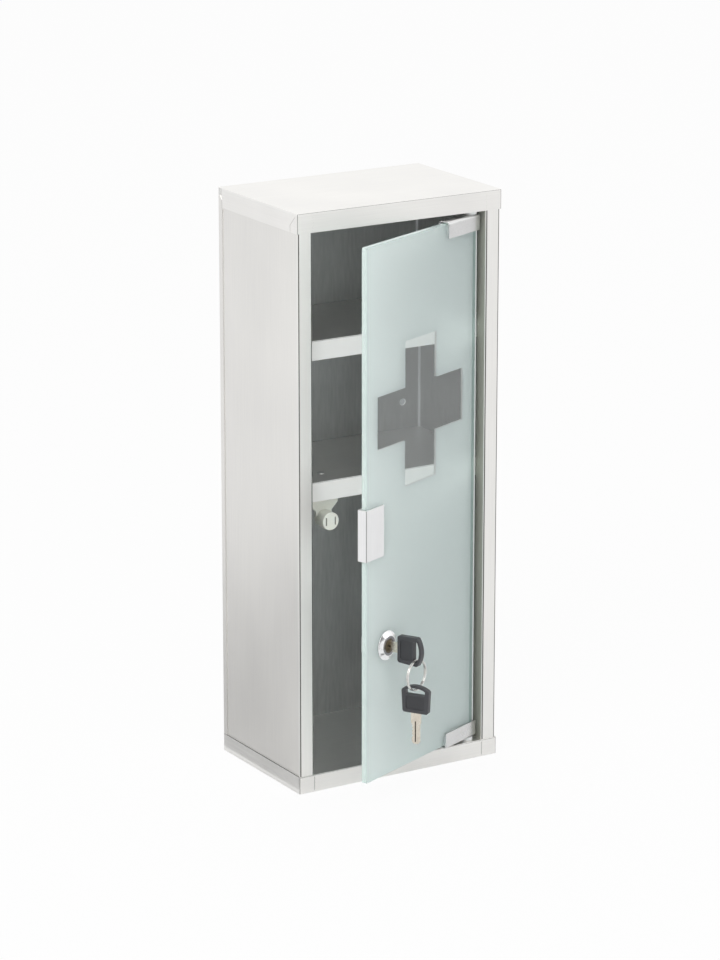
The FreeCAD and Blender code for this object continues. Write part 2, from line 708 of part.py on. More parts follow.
def make_door_handle():
    handle = new_body("door_handle")
    edge = "-1 * " + FREE_EDGE
    front = "-1 * (glass_thick / 2 + handle_pad + handle_front)"
    slot_front, slot_back = "-1 * (glass_thick / 2 + handle_pad)", "glass_thick / 2 + handle_pad"
    end = edge + " + handle_long"
    web = edge + " - handle_pad"
    section = add_outline(new_sketch(handle, "XY_Plane", HANDLE_LOW), [
        (web + " - handle_web", front), (end, front), (end, slot_front), (web, slot_front),
        (web, slot_back), (end, slot_back), (end, HANDLE_BACK), (web + " - handle_web", HANDLE_BACK)])
    pad(handle, section, "handle_tall")
    outside = (web + " - handle_web", end)
    round_edges(handle, "handle_edge", upright_at([(x, y) for x in outside for y in (front, HANDLE_BACK)]))
    finish(handle, DOOR)
    pads = []
    for side in ("", "-1 * "):
        tape = new_body("handle_pad")
        face = new_sketch(tape, "XZ_Plane", side + "(glass_thick + handle_pad) / 2")
        add_rectangle(face, edge + " + glass_bevel", end, HANDLE_LOW, HANDLE_LOW + " + handle_tall")
        pad(tape, face, "handle_pad", both=True)
        tape.Placement = DOOR
        pads.append(tape)
    gather("handle_pads", pads)


def make_lock():
    seat = "glass_thick / 2 + lock_gasket"
    bore = "plug_radius + plug_clearance"
    body = new_body("lock_body")
    revolve(body, [
        (bore, "-1 * " + LOCK_BACK), ("lock_barrel_radius", "-1 * " + LOCK_BACK),
        ("lock_barrel_radius", seat), ("lock_flange_radius", seat),
        ("lock_flange_radius", seat + " + lock_flange_edge"),
        ("lock_dome_radius", LOCK_FACE), (bore, LOCK_FACE)])
    finish(body, LOCK)
    gaskets = []
    for low in (seat + " - lock_gasket", "-1 * (" + seat + ")"):
        gasket = new_body("lock_gasket")
        ring = new_sketch(gasket, "XY_Plane", low)
        add_circle(ring, "0", "0", "lock_flange_radius - lock_flange_edge / 2")
        add_circle(ring, "0", "0", "lock_barrel_radius")
        pad(gasket, ring, "lock_gasket")
        gasket.Placement = LOCK
        gaskets.append(gasket)
    gather("lock_gaskets", gaskets)
    nut = new_body("lock_nut")
    flats = new_sketch(nut, "XY_Plane", "-1 * (" + seat + ")")
    corner = "lock_nut_flats / sqrt(3)"
    add_outline(flats, [
        (corner, "0"), (corner + " / 2", "lock_nut_flats / 2"),
        (corner + " / -2", "lock_nut_flats / 2"), ("-1 * " + corner, "0"),
        (corner + " / -2", "lock_nut_flats / -2"), (corner + " / 2", "lock_nut_flats / -2")])
    add_circle(flats, "0", "0", "lock_barrel_radius")
    pad(nut, flats, "lock_nut", back=True)
    finish(nut, LOCK)

    plug = new_body("lock_plug")
    revolve(plug, [("0", "-1 * " + LOCK_BACK), ("plug_radius", "-1 * " + LOCK_BACK),
                   ("plug_radius", LOCK_FACE), ("0", LOCK_FACE)])
    tail = new_sketch(plug, "XY_Plane", "-1 * " + LOCK_BACK)
    add_rectangle(tail, "plug_tail / -2", "plug_tail / 2", "plug_tail / -2", "plug_tail / 2")
    pad(plug, tail, "plug_tail_long", back=True)
    keyway = new_sketch(plug, "XY_Plane", LOCK_FACE)
    wide, tall = "(key_blade_thick / 2 + key_play)", "(key_blade_width / 2 + key_play)"
    add_rectangle(keyway, "-1 * " + wide, wide, "-1 * " + tall, tall)
    pocket(plug, keyway, "key_blade_long - key_neck + key_play")
    thread = new_sketch(plug, "XY_Plane", "-1 * (" + LOCK_BACK + " + plug_tail_long)")
    add_circle(thread, "0", "0", "cam_screw_radius")
    pocket(plug, thread, "cam_screw_long", back=True)
    finish(plug, LOCK)

    # The cam is cranked forward, to bear on the end of the stile's return when the door is shut
    cam = new_body("lock_cam")
    hub_front, arm_front = "-1 * (" + LOCK_BACK + " + cam_play)", "-1 * " + CAM_FRONT
    hub_back, arm_back = hub_front + " - cam_thick", arm_front + " - cam_thick"
    hub = new_sketch(cam, "XY_Plane", hub_front)
    add_rectangle(hub, "-1 * cam_hub_half", "cam_hub_half", "-1 * cam_hub_half", "cam_hub_half")
    pad(cam, hub, "cam_thick", back=True)
    near_side, far_side, tip = "-1 * cam_crank", "-1 * (cam_crank + cam_thick)", "-1 * " + CAM_TIP
    arm = add_outline(new_sketch(cam, "YZ_Plane"), [
        ("0", hub_front), ("0", hub_back), (far_side, hub_back), (far_side, arm_back),
        (tip, arm_back), (tip, arm_front), (near_side, arm_front), (near_side, hub_front)])
    pad(cam, arm, "2 * cam_arm_half", both=True)
    round_edges(cam, "cam_corner", lambda edge: edge_runs(edge, "z") and (
        near(edge.CenterOfMass.y, "cam_hub_half") or near(edge.CenterOfMass.y, tip)))
    hole = new_sketch(cam, "XY_Plane", hub_front)
    square = "(plug_tail / 2 + cam_play)"
    add_rectangle(hole, "-1 * " + square, square, "-1 * " + square, square)
    pocket(cam, hole, "cam_thick")
    finish(cam, LOCK)
    screw = new_body("cam_screw")
    revolve(screw, [
        ("0", "cam_screw_long"), ("cam_screw_radius", "cam_screw_long"), ("cam_screw_radius", "0"),
        ("cam_screw_flange_radius", "0"), ("cam_screw_head_radius", "-1 * cam_screw_head"),
        ("0", "-1 * cam_screw_head")])
    finish(screw, LOCK * shifted("0", "0", "-1 * (" + LOCK_BACK + " + plug_tail_long)"))


def mirrored(side):
    return [("-1 * " + across, along) for across, along in reversed(side)]


def make_key(name, placement):
    # On a key, Z runs from the blade to the end of the bow, Y across the bow
    blade = new_body(name + "_blade")
    tang, neck, half = "key_tang_width / 2", "key_neck_width / 2", "key_blade_width / 2"
    shoulder, tip = "-1 * key_neck", "-1 * key_blade_long"
    side = [(tang, "key_tang"), (tang, "0"), (neck, "0"), (neck, shoulder), (half, shoulder),
            (half, tip + " + key_tip"), ("key_tip_half", tip)]
    shape = add_outline(new_sketch(blade, "YZ_Plane"), side + mirrored(side))
    pad(blade, shape, "key_blade_thick", both=True)
    notches = new_sketch(blade, "YZ_Plane")
    for step in range(KEY_NOTCHES):
        low = shoulder + " - key_notch_step * %d - key_tip" % (step + 1)
        ramp = low + " + key_notch_ramp"
        floor = half + " - key_notch"
        add_outline(notches, [
            (half + " + overrun", low), (floor, ramp), (floor, ramp + " + key_notch_flat"),
            (half + " + overrun", low + " + key_notch_step")])
    pocket(blade, notches, "2 * key_blade_thick", both=True)
    finish(blade, placement)

    bow = new_body(name + "_bow")
    shape = new_sketch(bow, "YZ_Plane")
    add_arched(shape, "bow_waist_half_width", "bow_half_width", "0", "bow_long", "bow_end_radius")
    pad(bow, shape, "bow_thick", both=True)
    round_edges(bow, "bow_corner", lambda edge: edge_runs(edge, "x"))
    slot = new_sketch(bow, "YZ_Plane")
    add_arched(slot, "bow_slot_half_long", "bow_slot_half_long", SLOT_NEAR, SLOT_FAR, SLOT_RADIUS)
    pocket(bow, slot, "2 * bow_thick", both=True)
    round_edges(bow, "bow_edge", lambda edge: near(abs(edge.CenterOfMass.x), "bow_thick / 2"), "Chamfer")
    for side, back in (("", False), ("-1 * ", True)):
        panel = new_sketch(bow, "YZ_Plane", side + "bow_thick / 2")
        across = "(bow_waist_half_width - bow_panel_margin)"
        panel_end = SLOT_NEAR + " - bow_panel_to_slot"
        add_rectangle(panel, "-1 * " + across, across, "bow_panel_margin", panel_end)
        pocket(bow, panel, "bow_panel_deep", back=back)
    tang = new_sketch(bow, "YZ_Plane")
    add_rectangle(tang, "key_tang_width / -2", "key_tang_width / 2", "0", "key_tang")
    pocket(bow, tang, "key_blade_thick", both=True)
    finish(bow, placement)


def make_key_ring():
    ring = new_body("key_ring")
    inner = "ring_radius - ring_wire"
    half, groove = "ring_wide / 2", "ring_groove"
    revolve(ring, [
        (inner, "-1 * " + half), ("ring_radius", "-1 * " + half), ("ring_radius", "-1 * " + groove),
        ("ring_radius - ring_groove", "0"), ("ring_radius", groove), ("ring_radius", half), (inner, half)])
    finish(ring, RING)


make_top_cap()
make_base_tray()
make_side_panel("left_side_panel", "-1 * ")
make_side_panel("right_side_panel", "")
make_back_panel()
make_shelf("upper_shelf", UPPER_SHELF, False)
make_shelf("lower_shelf", LOWER_SHELF, True)
make_catch()
make_pivot("upper", CAP_LOW, "")
make_pivot("lower", "base_rise", "-1 * ")
make_door_pin("upper", UPPER_WEB, "")
make_door_pin("lower", LOWER_WEB, "-1 * ")
make_hinge_clip("upper", UPPER_CLIP_LOW, UPPER_CLIP_LOW, CLIP_TOP, UPPER_WEB)
make_hinge_clip("lower", CLIP_BOTTOM, CLIP_BOTTOM + " + clip_tall", CLIP_BOTTOM, LOWER_WEB)
make_hinge_fittings((UPPER_CLIP_LOW, CLIP_BOTTOM))
make_door_glass()
make_door_handle()
make_lock()
make_key("key", KEY)
make_key_ring()
make_key("spare_key", SPARE)

doc.recompute()
for item in doc.Objects:
    if "Invalid" in item.State or "Error" in item.State:
        raise ValueError("%s failed" % item.Label)
for piece in pieces:
    if piece.Shape.isNull() or not piece.Shape.isValid():
        raise ValueError("%s has no valid shape" % piece.Label)
os.makedirs("parts", exist_ok=True)
for piece in pieces:
    piece.Shape.exportStep("parts/%s.step" % piece.Label)
    print("%-20s %d solid(s) %10.1f mm3" % (piece.Label, len(piece.Shape.Solids), piece.Shape.Volume))
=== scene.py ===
import json
import math
import bmesh
import bpy
from mathutils import Matrix, Vector


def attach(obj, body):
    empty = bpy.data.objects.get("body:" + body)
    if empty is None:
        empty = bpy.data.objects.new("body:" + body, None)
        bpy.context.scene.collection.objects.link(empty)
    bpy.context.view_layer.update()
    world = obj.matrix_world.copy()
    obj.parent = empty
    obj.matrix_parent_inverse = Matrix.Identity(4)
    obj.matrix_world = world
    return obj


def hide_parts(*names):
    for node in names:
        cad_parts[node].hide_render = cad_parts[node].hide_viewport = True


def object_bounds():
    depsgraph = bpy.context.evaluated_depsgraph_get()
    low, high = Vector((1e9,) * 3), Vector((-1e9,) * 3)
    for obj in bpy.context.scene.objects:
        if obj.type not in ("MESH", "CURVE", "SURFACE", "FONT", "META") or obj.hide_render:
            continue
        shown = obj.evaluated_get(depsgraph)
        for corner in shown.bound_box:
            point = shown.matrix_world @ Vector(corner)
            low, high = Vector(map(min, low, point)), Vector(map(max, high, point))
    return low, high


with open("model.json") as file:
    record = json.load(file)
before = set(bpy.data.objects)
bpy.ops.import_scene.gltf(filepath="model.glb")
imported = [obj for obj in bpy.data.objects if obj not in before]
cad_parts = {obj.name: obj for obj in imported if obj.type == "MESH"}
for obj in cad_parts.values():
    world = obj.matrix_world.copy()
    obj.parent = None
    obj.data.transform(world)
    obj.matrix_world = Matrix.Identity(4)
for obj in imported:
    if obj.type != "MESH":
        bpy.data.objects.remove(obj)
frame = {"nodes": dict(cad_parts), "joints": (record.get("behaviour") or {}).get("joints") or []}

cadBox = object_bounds()
nodes = frame["nodes"]
joints = {joint["name"]: joint for joint in frame["joints"]}
mm = 0.001
print("frame loaded with", len(nodes), "solids")

# The door stands ajar, so its pieces are drawn lying in millimetres and set in place with these
hinge = Vector(joints["door_hinge"]["pos_m"])
lockSpot = Vector(joints["lock_turn"]["pos_m"])
lockAxis = Vector(joints["lock_turn"]["axis"])
doorTurn = Matrix.Rotation(math.atan2(-lockAxis.x, lockAxis.y), 4, "Z")
standUp = Matrix.Rotation(math.radians(90), 4, "X")
doorPlace = Matrix.Translation((hinge.x, hinge.y, cadBox[0].z)) @ doorTurn
lockPlace = Matrix.Translation(lockSpot) @ doorTurn @ standUp


def shift(x, y, z):
    return Matrix.Translation((x * mm, y * mm, z * mm))


# Finishes, each made from a fine grain and a broad cloud of noise

sockets = {"metallic": "Metallic", "ior": "IOR", "transmission": "Transmission Weight", "coat": "Coat Weight",
           "coatRoughness": "Coat Roughness", "specular": "Specular IOR Level",
           "subsurface": "Subsurface Weight"}
noiseSpan = (0.3, 0.7)  # nearly all of the noise lies between these
grainDetail = 3.0
cloudDetail = 2.0


def addNode(tree, kind, **values):
    node = tree.nodes.new(kind)
    for socket, value in values.items():
        node.inputs[socket].default_value = value
    return node


def addMath(tree, operation, *values):
    node = tree.nodes.new("ShaderNodeMath")
    node.operation = operation
    for socket, value in zip(node.inputs, values):
        if isinstance(value, (int, float)):
            socket.default_value = value
        else:
            tree.links.new(value, socket)
    return node.outputs[0]


def addNoise(tree, coords, stretch, detail):
    mapping = addNode(tree, "ShaderNodeMapping", Scale=stretch)
    noise = addNode(tree, "ShaderNodeTexNoise", Scale=1.0, Detail=detail)
    tree.links.new(coords, mapping.inputs["Vector"])
    tree.links.new(mapping.outputs["Vector"], noise.inputs["Vector"])
    return noise.outputs["Fac"]


def addRange(tree, value, source, result):
    node = tree.nodes.new("ShaderNodeMapRange")
    for socket, level in zip(("From Min", "From Max", "To Min", "To Max"), source + result):
        node.inputs[socket].default_value = level
    tree.links.new(value, node.inputs["Value"])
    return node.outputs["Result"]


def addRamp(tree, value, stops):
    node = tree.nodes.new("ShaderNodeValToRGB")
    elements = node.color_ramp.elements
    while len(elements) < len(stops):
        elements.new(0.5)
    for element, (place, color) in zip(elements, stops):
        element.position = place
        element.color = color + (1.0,)
    tree.links.new(value, node.inputs["Fac"])
    return node.outputs["Color"]


def addColorMix(tree, blend):
    # The Mix node has sockets for every kind of data, and these are the ones for colours
    node = tree.nodes.new("ShaderNodeMix")
    node.data_type = "RGBA"
    node.blend_type = blend
    first, second = [socket for socket in node.inputs if socket.type == "RGBA"]
    result = [socket for socket in node.outputs if socket.type == "RGBA"][0]
    return node.inputs["Factor"], first, second, result


def paintBendReflections(tree, color, stops, levelRate):
    # Paints dark reflections along the bends into the colour: how far a bend has turned is told from the way
    # its surface faces, and flat sheet keeps its colour
    facing = tree.nodes.new("ShaderNodeNewGeometry")
    parts = tree.nodes.new("ShaderNodeSeparateXYZ")
    tree.links.new(facing.outputs["Normal"], parts.inputs["Vector"])
    sideways = addMath(tree, "ABSOLUTE", parts.outputs["X"])
    upward = addMath(tree, "ABSOLUTE", parts.outputs["Z"])
    turn = addMath(tree, "MAXIMUM", sideways, addMath(tree, "MULTIPLY", upward, levelRate))
    shades = addRamp(tree, turn, [(place, (shade, shade, shade)) for place, shade in stops])
    share, first, second, result = addColorMix(tree, "MULTIPLY")
    share.default_value = 1.0
    tree.links.new(color, first)
    tree.links.new(shades, second)
    return result


def markCorner(tree, coords, color, corner):
    # A line runs where the surface lies far enough aside and to the rear
    parts = tree.nodes.new("ShaderNodeSeparateXYZ")
    tree.links.new(coords, parts.inputs["Vector"])
    aside = addMath(tree, "GREATER_THAN", addMath(tree, "ABSOLUTE", parts.outputs["X"]), corner["aside"])
    rear = addMath(tree, "GREATER_THAN", parts.outputs["Y"], corner["rear"])
    share, first, second, result = addColorMix(tree, "MIX")
    second.default_value = corner["line"] + (1.0,)
    tree.links.new(addMath(tree, "MULTIPLY", aside, rear), share)
    tree.links.new(color, first)
    return result


def makeFinish(name, look):
    material = bpy.data.materials.new(name)
    material.use_nodes = True
    tree = material.node_tree
    shader = tree.nodes["Principled BSDF"]
    for key, socket in sockets.items():
        if key in look:
            shader.inputs[socket].default_value = look[key]
    coords = tree.nodes.new("ShaderNodeTexCoord").outputs["Object"]
    grain = addNoise(tree, coords, look["grain"], grainDetail)
    cloud = addNoise(tree, coords, look["cloud"], cloudDetail)
    # Both tint the colour, the grain also raises the surface and the cloud makes some spots duller
    average = addMath(tree, "MULTIPLY", addMath(tree, "ADD", grain, cloud), 0.5)
    tint = addRamp(tree, average, list(zip(noiseSpan, (look["dark"], look["light"]))))
    if "bends" in look:
        tint = paintBendReflections(tree, tint, look["bends"], look["levelRate"])
    if "corner" in look:
        tint = markCorner(tree, coords, tint, look["corner"])
    tree.links.new(tint, shader.inputs["Base Color"])
    tree.links.new(addRange(tree, cloud, noiseSpan, look["rough"]), shader.inputs["Roughness"])
    strength, height = look["bump"]
    bump = addNode(tree, "ShaderNodeBump", Strength=strength, Distance=height * mm)
    tree.links.new(grain, bump.inputs["Height"])
    tree.links.new(bump.outputs["Normal"], shader.inputs["Normal"])
    if "translucent" in look:
        through = addNode(tree, "ShaderNodeBsdfTranslucent", Color=look["through"] + (1.0,))
        mix = addNode(tree, "ShaderNodeMixShader", Fac=look["translucent"])
        tree.links.new(shader.outputs["BSDF"], mix.inputs[1])
        tree.links.new(through.outputs["BSDF"], mix.inputs[2])
        tree.links.new(mix.outputs["Shader"], tree.nodes["Material Output"].inputs["Surface"])
    return material


# Outlines and meshes

def roundLoop(corners, steps=6):
    # Each corner is given as x, y and the radius that rounds it
    points = []
    for number, (x, y, radius) in enumerate(corners):
        corner = Vector((x, y))
        before = (Vector(corners[number - 1][:2]) - corner).normalized()
        after = (Vector(corners[(number + 1) % len(corners)][:2]) - corner).normalized()
        if radius == 0:
            points.append(corner)
            continue
        spread = before.angle(after)
        start = corner + before * radius / math.tan(spread / 2)
        centre = corner + (before + after).normalized() * radius / math.sin(spread / 2)
        arm = start - centre
        turn = math.pi - spread
        side = 1 if before.x * after.y - before.y * after.x < 0 else -1
        for step in range(steps + 1):
            angle = side * turn * step / steps
            points.append(centre + Vector((arm.x * math.cos(angle) - arm.y * math.sin(angle),
                                           arm.x * math.sin(angle) + arm.y * math.cos(angle))))
    return points


def archLoop(foot, half, low, high, radius, corner, count=12):
    # Straight foot and sides, closed by an arched end
    lean = math.asin(half / radius)
    turns = [lean - 2 * lean * step / count for step in range(1, count)]
    arc = [(radius * math.sin(turn), high - radius + radius * math.cos(turn), 0) for turn in turns]
    shoulder = high - radius + radius * math.cos(lean)
    sides = [(-half, shoulder, corner), (-foot, low, corner), (foot, low, corner), (half, shoulder, corner)]
    return roundLoop(sides + arc)


def circleLoop(x, y, radius, count):
    turns = [2 * math.pi * step / count for step in range(count)]
    return [Vector((x + radius * math.cos(turn), y + radius * math.sin(turn))) for turn in turns]


def addLoop(mesh, points, depth):
    return [mesh.verts.new((point.x, point.y, depth)) for point in points]


def loopEdges(mesh, loop):
    ends = zip(loop, loop[1:] + loop[:1])
    return [mesh.edges.get(pair) or mesh.edges.new(pair) for pair in ends]


def fillLoops(mesh, loops):
    edges = [edge for loop in loops for edge in loopEdges(mesh, loop)]
    filled = bmesh.ops.triangle_fill(mesh, edges=edges, use_beauty=True)
    return [item for item in filled["geom"] if isinstance(item, bmesh.types.BMFace)]


def joinLoops(mesh, one, two):
    faces = []
    for step in range(len(one)):
        following = (step + 1) % len(one)
        faces.append(mesh.faces.new((one[step], one[following], two[following], two[step])))
    return faces


def slab(outline, thick, holes, recesses, depth, floorFinish):
    # A flat plate with holes through it and recesses in both faces, whose walls take the second finish
    mesh = bmesh.new()
    outlines = [outline] + list(holes)
    walls = [(addLoop(mesh, loop, thick / 2), addLoop(mesh, loop, -thick / 2)) for loop in outlines]
    for front, back in walls:
        joinLoops(mesh, front, back)
    for side in (1, -1):
        loops = [pair[0] if side > 0 else pair[1] for pair in walls]
        for recess in recesses:
            rim = addLoop(mesh, recess, side * thick / 2)
            floor = addLoop(mesh, recess, side * (thick / 2 - depth))
            for wall in joinLoops(mesh, rim, floor):
                wall.material_index = 1
            for face in fillLoops(mesh, [floor]):
                face.material_index = floorFinish
            loops.append(rim)
        fillLoops(mesh, loops)
    return mesh


def lathe(profile, count, shaded):
    # The bands whose numbers are in shaded take the second finish
    mesh = bmesh.new()
    rings = [addLoop(mesh, circleLoop(0, 0, radius, count), height) for radius, height in profile]
    for number, (one, two) in enumerate(zip(rings, rings[1:])):
        for face in joinLoops(mesh, one, two):
            face.material_index = 1 if number in shaded else 0
    return mesh


def makePiece(name, mesh, place, materials, body, sharpAngle):
    bmesh.ops.recalc_face_normals(mesh, faces=mesh.faces)
    for vert in mesh.verts:
        vert.co = vert.co * mm
    data = bpy.data.meshes.new(name)
    mesh.to_mesh(data)
    mesh.free()
    data.transform(place)
    for material in materials:
        data.materials.append(material)
    for face in data.polygons:
        face.use_smooth = True
    data.set_sharp_from_angle(angle=math.radians(sharpAngle))
    piece = bpy.data.objects.new(name, data)
    bpy.context.scene.collection.objects.link(piece)
    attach(piece, body)
    return piece


def softenEdges(piece, width, segments=3, angle=40):
    weld = piece.modifiers.new("weld", "WELD")
    weld.merge_threshold = 0.01 * mm
    bevel = piece.modifiers.new("softEdges", "BEVEL")
    bevel.width = width * mm
    bevel.segments = segments
    bevel.limit_method = "ANGLE"
    bevel.angle_limit = math.radians(angle)
    bevel.use_clamp_overlap = True
    even = piece.modifiers.new("evenFaces", "WEIGHTED_NORMAL")
    even.weight = 100
    even.keep_sharp = True


def dress(name, material, edge=0.0):
    solid = nodes[name]
    solid.data.materials.clear()
    solid.data.materials.append(material)
    for face in solid.data.polygons:
        face.use_smooth = True
    if edge:
        softenEdges(solid, edge)


def paintFaces(name, material, isChosen):
    # Gives some faces of a dressed solid a finish of their own
    data = nodes[name].data
    data.materials.append(material)
    for face in data.polygons:
        if isChosen(face):
            face.material_index = len(data.materials) - 1


# Case of brushed sheet, with dark reflections painted along the bends

caseSteel = {"light": (0.93, 0.92, 0.895), "dark": (0.86, 0.85, 0.83), "metallic": 1.0, "rough": (0.36, 0.46),
             "cloud": (14, 14, 9), "bump": (0.12, 0.02), "edge": 0.12, "levelRate": 1.8,
             "bends": ((0.0, 1.0), (0.05, 1.0), (0.11, 0.06), (0.54, 0.09), (0.68, 1.0))}
brushedAcross = (18, 1500, 1500)
brushedBack = (1500, 18, 1500)
brushedUp = (1500, 1500, 18)
alongLimit = 0.9  # a face looks along an axis when its normal has this much of it
uprightSteel = makeFinish("uprightSteel", dict(caseSteel, grain=brushedUp))
levelSteel = makeFinish("levelSteel", dict(caseSteel, grain=brushedAcross))
for name in ("left_side_panel", "right_side_panel", "back_panel"):
    dress(name, uprightSteel, caseSteel["edge"])
for name in ("top_cap", "base_tray"):
    dress(name, levelSteel, caseSteel["edge"])

# The shelves' lips are painted paler than their tops, painted light for the light that reaches them through
# the opening
litShelfSteel = dict(caseSteel, light=(0.985, 0.98, 0.965), dark=(0.95, 0.945, 0.93), metallic=0.08,
                  grain=brushedAcross)
litShelfFinish = makeFinish("litShelfSteel", litShelfSteel)
for name in ("upper_shelf", "lower_shelf"):
    dress(name, litShelfFinish, litShelfSteel["edge"])
    paintFaces(name, levelSteel, lambda face: face.normal.z > alongLimit)

# Inside, the dull mill side of the sheet shows, its dark tone partly the mill finish and partly painted shade
# of the interior, with a pale line down each back corner
millShadeSide = {"light": (0.51, 0.515, 0.515), "dark": (0.39, 0.395, 0.395), "metallic": 1.0,
            "rough": (0.42, 0.55), "grain": (500, 500, 60), "cloud": (22, 22, 16), "bump": (0.1, 0.02),
            "corner": {"aside": 0.0957, "rear": -0.0022, "line": (0.80, 0.81, 0.82)}}
# A face is an inside wall when it looks along the way given and lies short of the level given
insideWalls = {"left_side_panel": ((1, 0, 0), -0.09), "right_side_panel": ((-1, 0, 0), -0.09),
               "back_panel": ((0, -1, 0), 0.002), "top_cap": ((0, 0, -1), -0.2)}
millShadeSteel = makeFinish("millShadeSteel", millShadeSide)
for name, (way, level) in insideWalls.items():
    paintFaces(name, millShadeSteel,
               lambda face: face.normal.dot(way) > alongLimit and face.center.dot(way) < level)

# The stiles' returns face the opening, and its darkness is painted into their colour as a painted dark
# reflection
returnReflectSteel = dict(caseSteel, light=(0.50, 0.51, 0.45), dark=(0.43, 0.44, 0.39), metallic=0.5,
                   grain=brushedUp)
returnReflectFinish = makeFinish("returnReflectSteel", returnReflectSteel)
for name in ("left_side_panel", "right_side_panel"):
    way, level = insideWalls[name]
    paintFaces(name, returnReflectFinish,
               lambda face: face.normal.dot(way) > alongLimit and face.center.dot(way) > level)

# Painted shade darkens the base tray's side rims, where the panels stand in it and the gap between them lies
# in shade
seamShadeSteel = dict(caseSteel, grain=brushedAcross,
                 corner={"aside": 0.0981, "rear": -1.0, "line": (0.16, 0.16, 0.155)})
paintFaces("base_tray", makeFinish("seamShadeSteel", seamShadeSteel), lambda face: face.normal.z > alongLimit)

# The flanks of the cap and the tray are brushed from front to back; the cap's flanks are painted lighter and
# the tray's flanks darker than the panels, painted light at the top and painted shade low down
capLitFlank = dict(caseSteel, light=(1.0, 0.99, 0.97), dark=(0.95, 0.94, 0.92), grain=brushedBack)
trayShadedFlank = dict(caseSteel, light=(0.90, 0.895, 0.88), dark=(0.80, 0.795, 0.78), grain=brushedBack)
paintFaces("top_cap", makeFinish("capLitFlank", capLitFlank), lambda face: abs(face.normal.x) > alongLimit)
paintFaces("base_tray", makeFinish("trayShadedFlank", trayShadedFlank), lambda face: abs(face.normal.x) > alongLimit)
print("case dressed")

# Catch and pivot bushes

creamPlastic = {"light": (0.97, 0.97, 0.89), "dark": (0.91, 0.91, 0.82), "rough": (0.32, 0.42),
                "specular": 0.5, "subsurface": 0.05, "grain": (900, 900, 900), "cloud": (60, 60, 60),
                "bump": (0.08, 0.02), "edge": 0.35}
whiteNylon = {"light": (0.86, 0.86, 0.84), "dark": (0.80, 0.80, 0.78), "rough": (0.4, 0.5),
              "subsurface": 0.08, "grain": (700, 700, 700), "cloud": (80, 80, 80), "bump": (0.06, 0.02),
              "edge": 0.3}
poleSteel = {"light": (0.30, 0.29, 0.27), "dark": (0.20, 0.19, 0.18), "metallic": 1.0, "rough": (0.4, 0.55),
             "grain": (900, 900, 200), "cloud": (120, 120, 120), "bump": (0.15, 0.02)}
ferrite = {"light": (0.06, 0.06, 0.062), "dark": (0.035, 0.035, 0.037), "rough": (0.6, 0.75),
           "grain": (1200, 1200, 1200), "cloud": (150, 150, 150), "bump": (0.3, 0.03)}
rivetMetal = {"light": (0.78, 0.78, 0.78), "dark": (0.66, 0.66, 0.66), "metallic": 1.0, "rough": (0.3, 0.42),
              "grain": (600, 600, 600), "cloud": (90, 90, 90), "bump": (0.1, 0.02)}
catchFinish = makeFinish("catchPlastic", creamPlastic)
for name in ("catch_bracket", "catch_barrel"):
    dress(name, catchFinish, creamPlastic["edge"])
dress("catch_pole_plates", makeFinish("poleSteel", poleSteel))
dress("catch_magnet", makeFinish("ferrite", ferrite))
dress("catch_rivets", makeFinish("rivetMetal", rivetMetal))
bushFinish = makeFinish("pivotNylon", whiteNylon)
for name in ("upper_pivot_bush", "lower_pivot_bush"):
    dress(name, bushFinish, whiteNylon["edge"])
print("catch and bushes dressed")

# Glass door: etched all over except a clear cross, with polished edges

glassDoor = {"left": -153.0, "right": 7.0, "low": 20.2, "high": 478.2, "thick": 5.0, "corner": 1.5,
             "bevel": 0.5, "lockX": -124.5, "lockZ": 135.0, "holeRadius": 9.5, "holeCount": 56,
             "crossX": -75.2, "crossZ": 328.3, "armHalf": 22.6, "armLong": 62.0,
             "darkEdgeReflection": 6.5, "brightEdgeReflection": 2.2, "sharpAngle": 30}
etchedGlass = {"light": (0.845, 0.985, 0.98), "dark": (0.825, 0.97, 0.965), "rough": (0.85, 0.95),
               "transmission": 0.36, "ior": 1.3, "coat": 0.35, "coatRoughness": 0.06,
               "translucent": 0.48, "through": (0.985, 0.985, 0.97),
               "grain": (2600, 2600, 2600), "cloud": (9, 9, 6), "bump": (0.05, 0.01)}
etchedBack = dict(etchedGlass, light=(0.97, 0.985, 0.98), dark=(0.95, 0.97, 0.965))
# The dark band and the bright line along the hinge-side edge are painted reflections
darkEdgeReflection = dict(etchedGlass, light=(0.55, 0.69, 0.67), dark=(0.51, 0.65, 0.63), through=(0.62, 0.71, 0.69))
brightEdgeReflection = dict(etchedGlass, light=(0.97, 1.0, 0.99), dark=(0.96, 0.99, 0.98), transmission=0.0,
                translucent=0.1)
clearGlass = {"light": (0.94, 0.985, 0.985), "dark": (0.93, 0.98, 0.98), "rough": (0.0, 0.012),
              "transmission": 1.0, "ior": 1.66, "grain": (60, 60, 60), "cloud": (20, 20, 20),
              "bump": (0.01, 0.002)}
greenEdge = {"light": (0.82, 0.95, 0.92), "dark": (0.76, 0.92, 0.88), "rough": (0.06, 0.12),
             "transmission": 0.55, "ior": 1.5, "grain": (300, 300, 300), "cloud": (30, 30, 30),
             "bump": (0.02, 0.005)}
glassLooks = {"etchedGlass": etchedGlass, "clearGlass": clearGlass, "greenEdge": greenEdge,
              "etchedBack": etchedBack, "darkEdgeReflection": darkEdgeReflection, "brightEdgeReflection": brightEdgeReflection}
glassIndex = {name: number for number, name in enumerate(glassLooks)}


def setFinish(faces, name):
    for face in faces:
        face.material_index = glassIndex[name]


